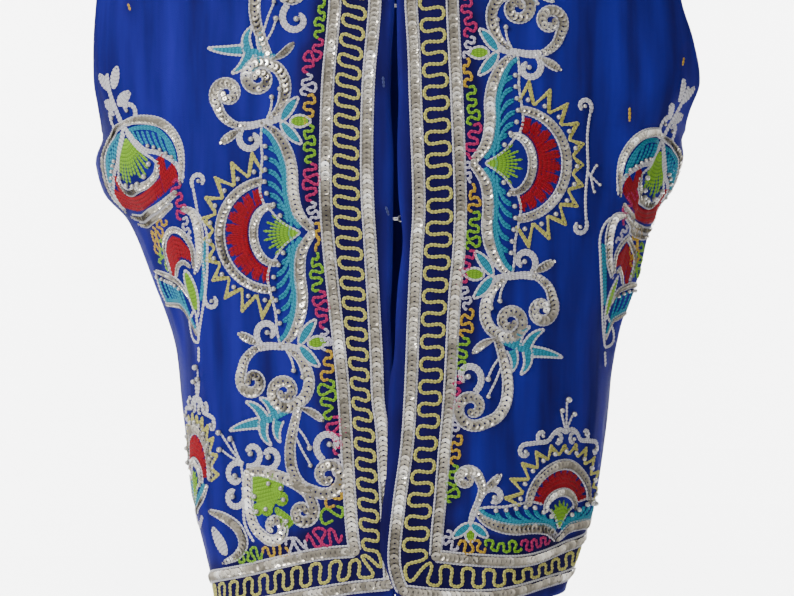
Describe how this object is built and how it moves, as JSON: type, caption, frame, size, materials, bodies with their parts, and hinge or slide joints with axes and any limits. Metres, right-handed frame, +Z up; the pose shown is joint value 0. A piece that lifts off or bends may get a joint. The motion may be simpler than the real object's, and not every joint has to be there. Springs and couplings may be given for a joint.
{
  "type": "embroidered sleeveless waistcoat",
  "caption": "Sleeveless waistcoat of thin cloth, worn and hollow, with two embroidered fronts closed by hooks and eyes, a back, a round neck and open armholes.",
  "frame": {"origin": "midway between the shoulders at the height of the neck points, where the wearer's shoulders hold the waistcoat", "axes": "+Z up, the front faces -Y, the wearer's left is at +X"},
  "size_m": [0.4296, 0.2087, 0.5916],
  "materials": {
    "cloth": "thin blue georgette with a soft crinkle",
    "metal": "plain bent wire",
    "thread": "twisted embroidery thread in chain stitch",
    "sequins": "silvered cup sequins",
    "beads": "small pearl beads"
  },
  "bodies": {
    "root": {"front_right": "cloth", "front_left": "cloth", "back": "cloth", "hook_upper": "metal", "eye_upper": "metal", "hook_lower": "metal", "eye_lower": "metal"}
  },
  "joints": []
}
